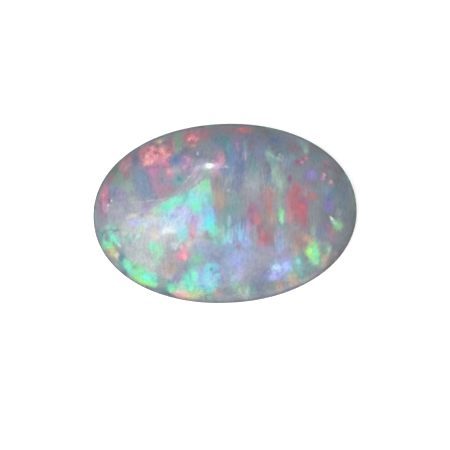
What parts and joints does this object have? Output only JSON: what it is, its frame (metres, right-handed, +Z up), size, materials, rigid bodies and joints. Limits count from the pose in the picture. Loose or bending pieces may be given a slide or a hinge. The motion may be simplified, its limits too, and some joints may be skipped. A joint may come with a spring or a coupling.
{
  "type": "oval opal cabochon",
  "caption": "Polished oval opal cabochon with a domed crown, a rounded lower edge and a flat base, milky grey with play-of-colour.",
  "frame": {"origin": "middle of the flat base, on the surface that the stone rests on", "axes": "+X along the stone's length, +Y across its width, +Z up through the top of the dome"},
  "size_m": [0.015, 0.0102, 0.0046],
  "materials": {
    "opal": "high polish, milky grey body with patches of spectral colour"
  },
  "bodies": {
    "root": {"opal": "opal"}
  },
  "joints": []
}
